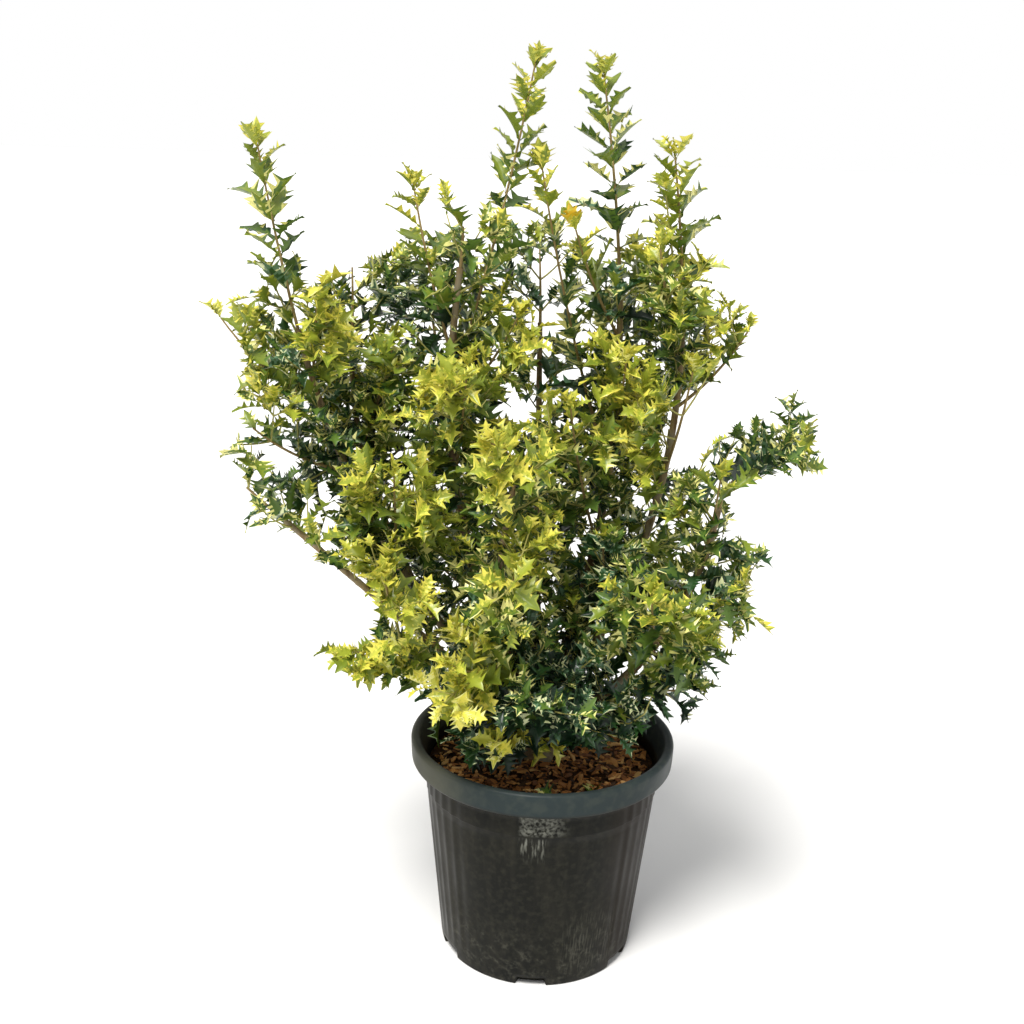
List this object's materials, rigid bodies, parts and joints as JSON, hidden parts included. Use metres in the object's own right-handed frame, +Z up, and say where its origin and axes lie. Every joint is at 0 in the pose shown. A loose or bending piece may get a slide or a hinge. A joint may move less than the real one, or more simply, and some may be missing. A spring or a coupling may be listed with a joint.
{
  "type": "potted variegated holly olive shrub",
  "caption": "Bushy evergreen shrub with spiny cream and green leaves, several stems from a short woody foot, in a round black nursery pot.",
  "frame": {"origin": "middle of the pot's flat underside", "axes": "+Z up through the pot and the crown, front of the picture towards -Y"},
  "size_m": [0.8076, 0.516, 1.1899],
  "materials": {
    "pot": "dusty moulded black plastic",
    "soil": "moist bark chips and potting mix",
    "bark": "smooth grey-tan young bark",
    "foliage": "leathery green leaves with cream and yellow margins"
  },
  "bodies": {
    "root": {"pot": "pot", "soil": "soil", "trunk": "bark", "left_stem": "bark", "left_inner_stem": "bark", "centre_left_stem": "bark", "right_centre_stem": "bark", "right_stem": "bark", "right_low_bough": "bark", "left_low_bough": "bark", "front_stem": "bark", "back_left_stem": "bark", "back_centre_stem": "bark", "back_right_stem": "bark", "tall_left": "foliage", "left_crest": "foliage", "upper_left": "foliage", "left_fan": "foliage", "left_shoulder": "foliage", "left_back": "foliage", "left_inner_top": "foliage", "left_inner_side": "foliage", "centre_left_top": "foliage", "centre_left_crest": "foliage", "centre_right_shoot": "foliage", "centre_front": "foliage", "centre_back": "foliage", "tall_centre": "foliage", "tall_inner": "foliage", "tall_right": "foliage", "golden_shoot": "foliage", "right_centre_front": "foliage", "right_centre_low": "foliage", "right_centre_back": "foliage", "right_top": "foliage", "right_top_front": "foliage", "right_shoulder": "foliage", "right_front": "foliage", "right_back": "foliage", "right_low": "foliage", "far_right": "foliage", "right_bough_top": "foliage", "right_bough_side": "foliage", "right_bough_front": "foliage", "right_rim": "foliage", "far_left": "foliage", "left_low": "foliage", "left_low_front": "foliage", "front_top": "foliage", "front_centre": "foliage", "front_left": "foliage", "front_low": "foliage", "rim_front": "foliage", "back_left_top": "foliage", "back_left_low": "foliage", "back_rim": "foliage", "back_centre_top": "foliage", "back_centre_low": "foliage", "back_right_top": "foliage", "back_right_low": "foliage"}
  },
  "joints": []
}
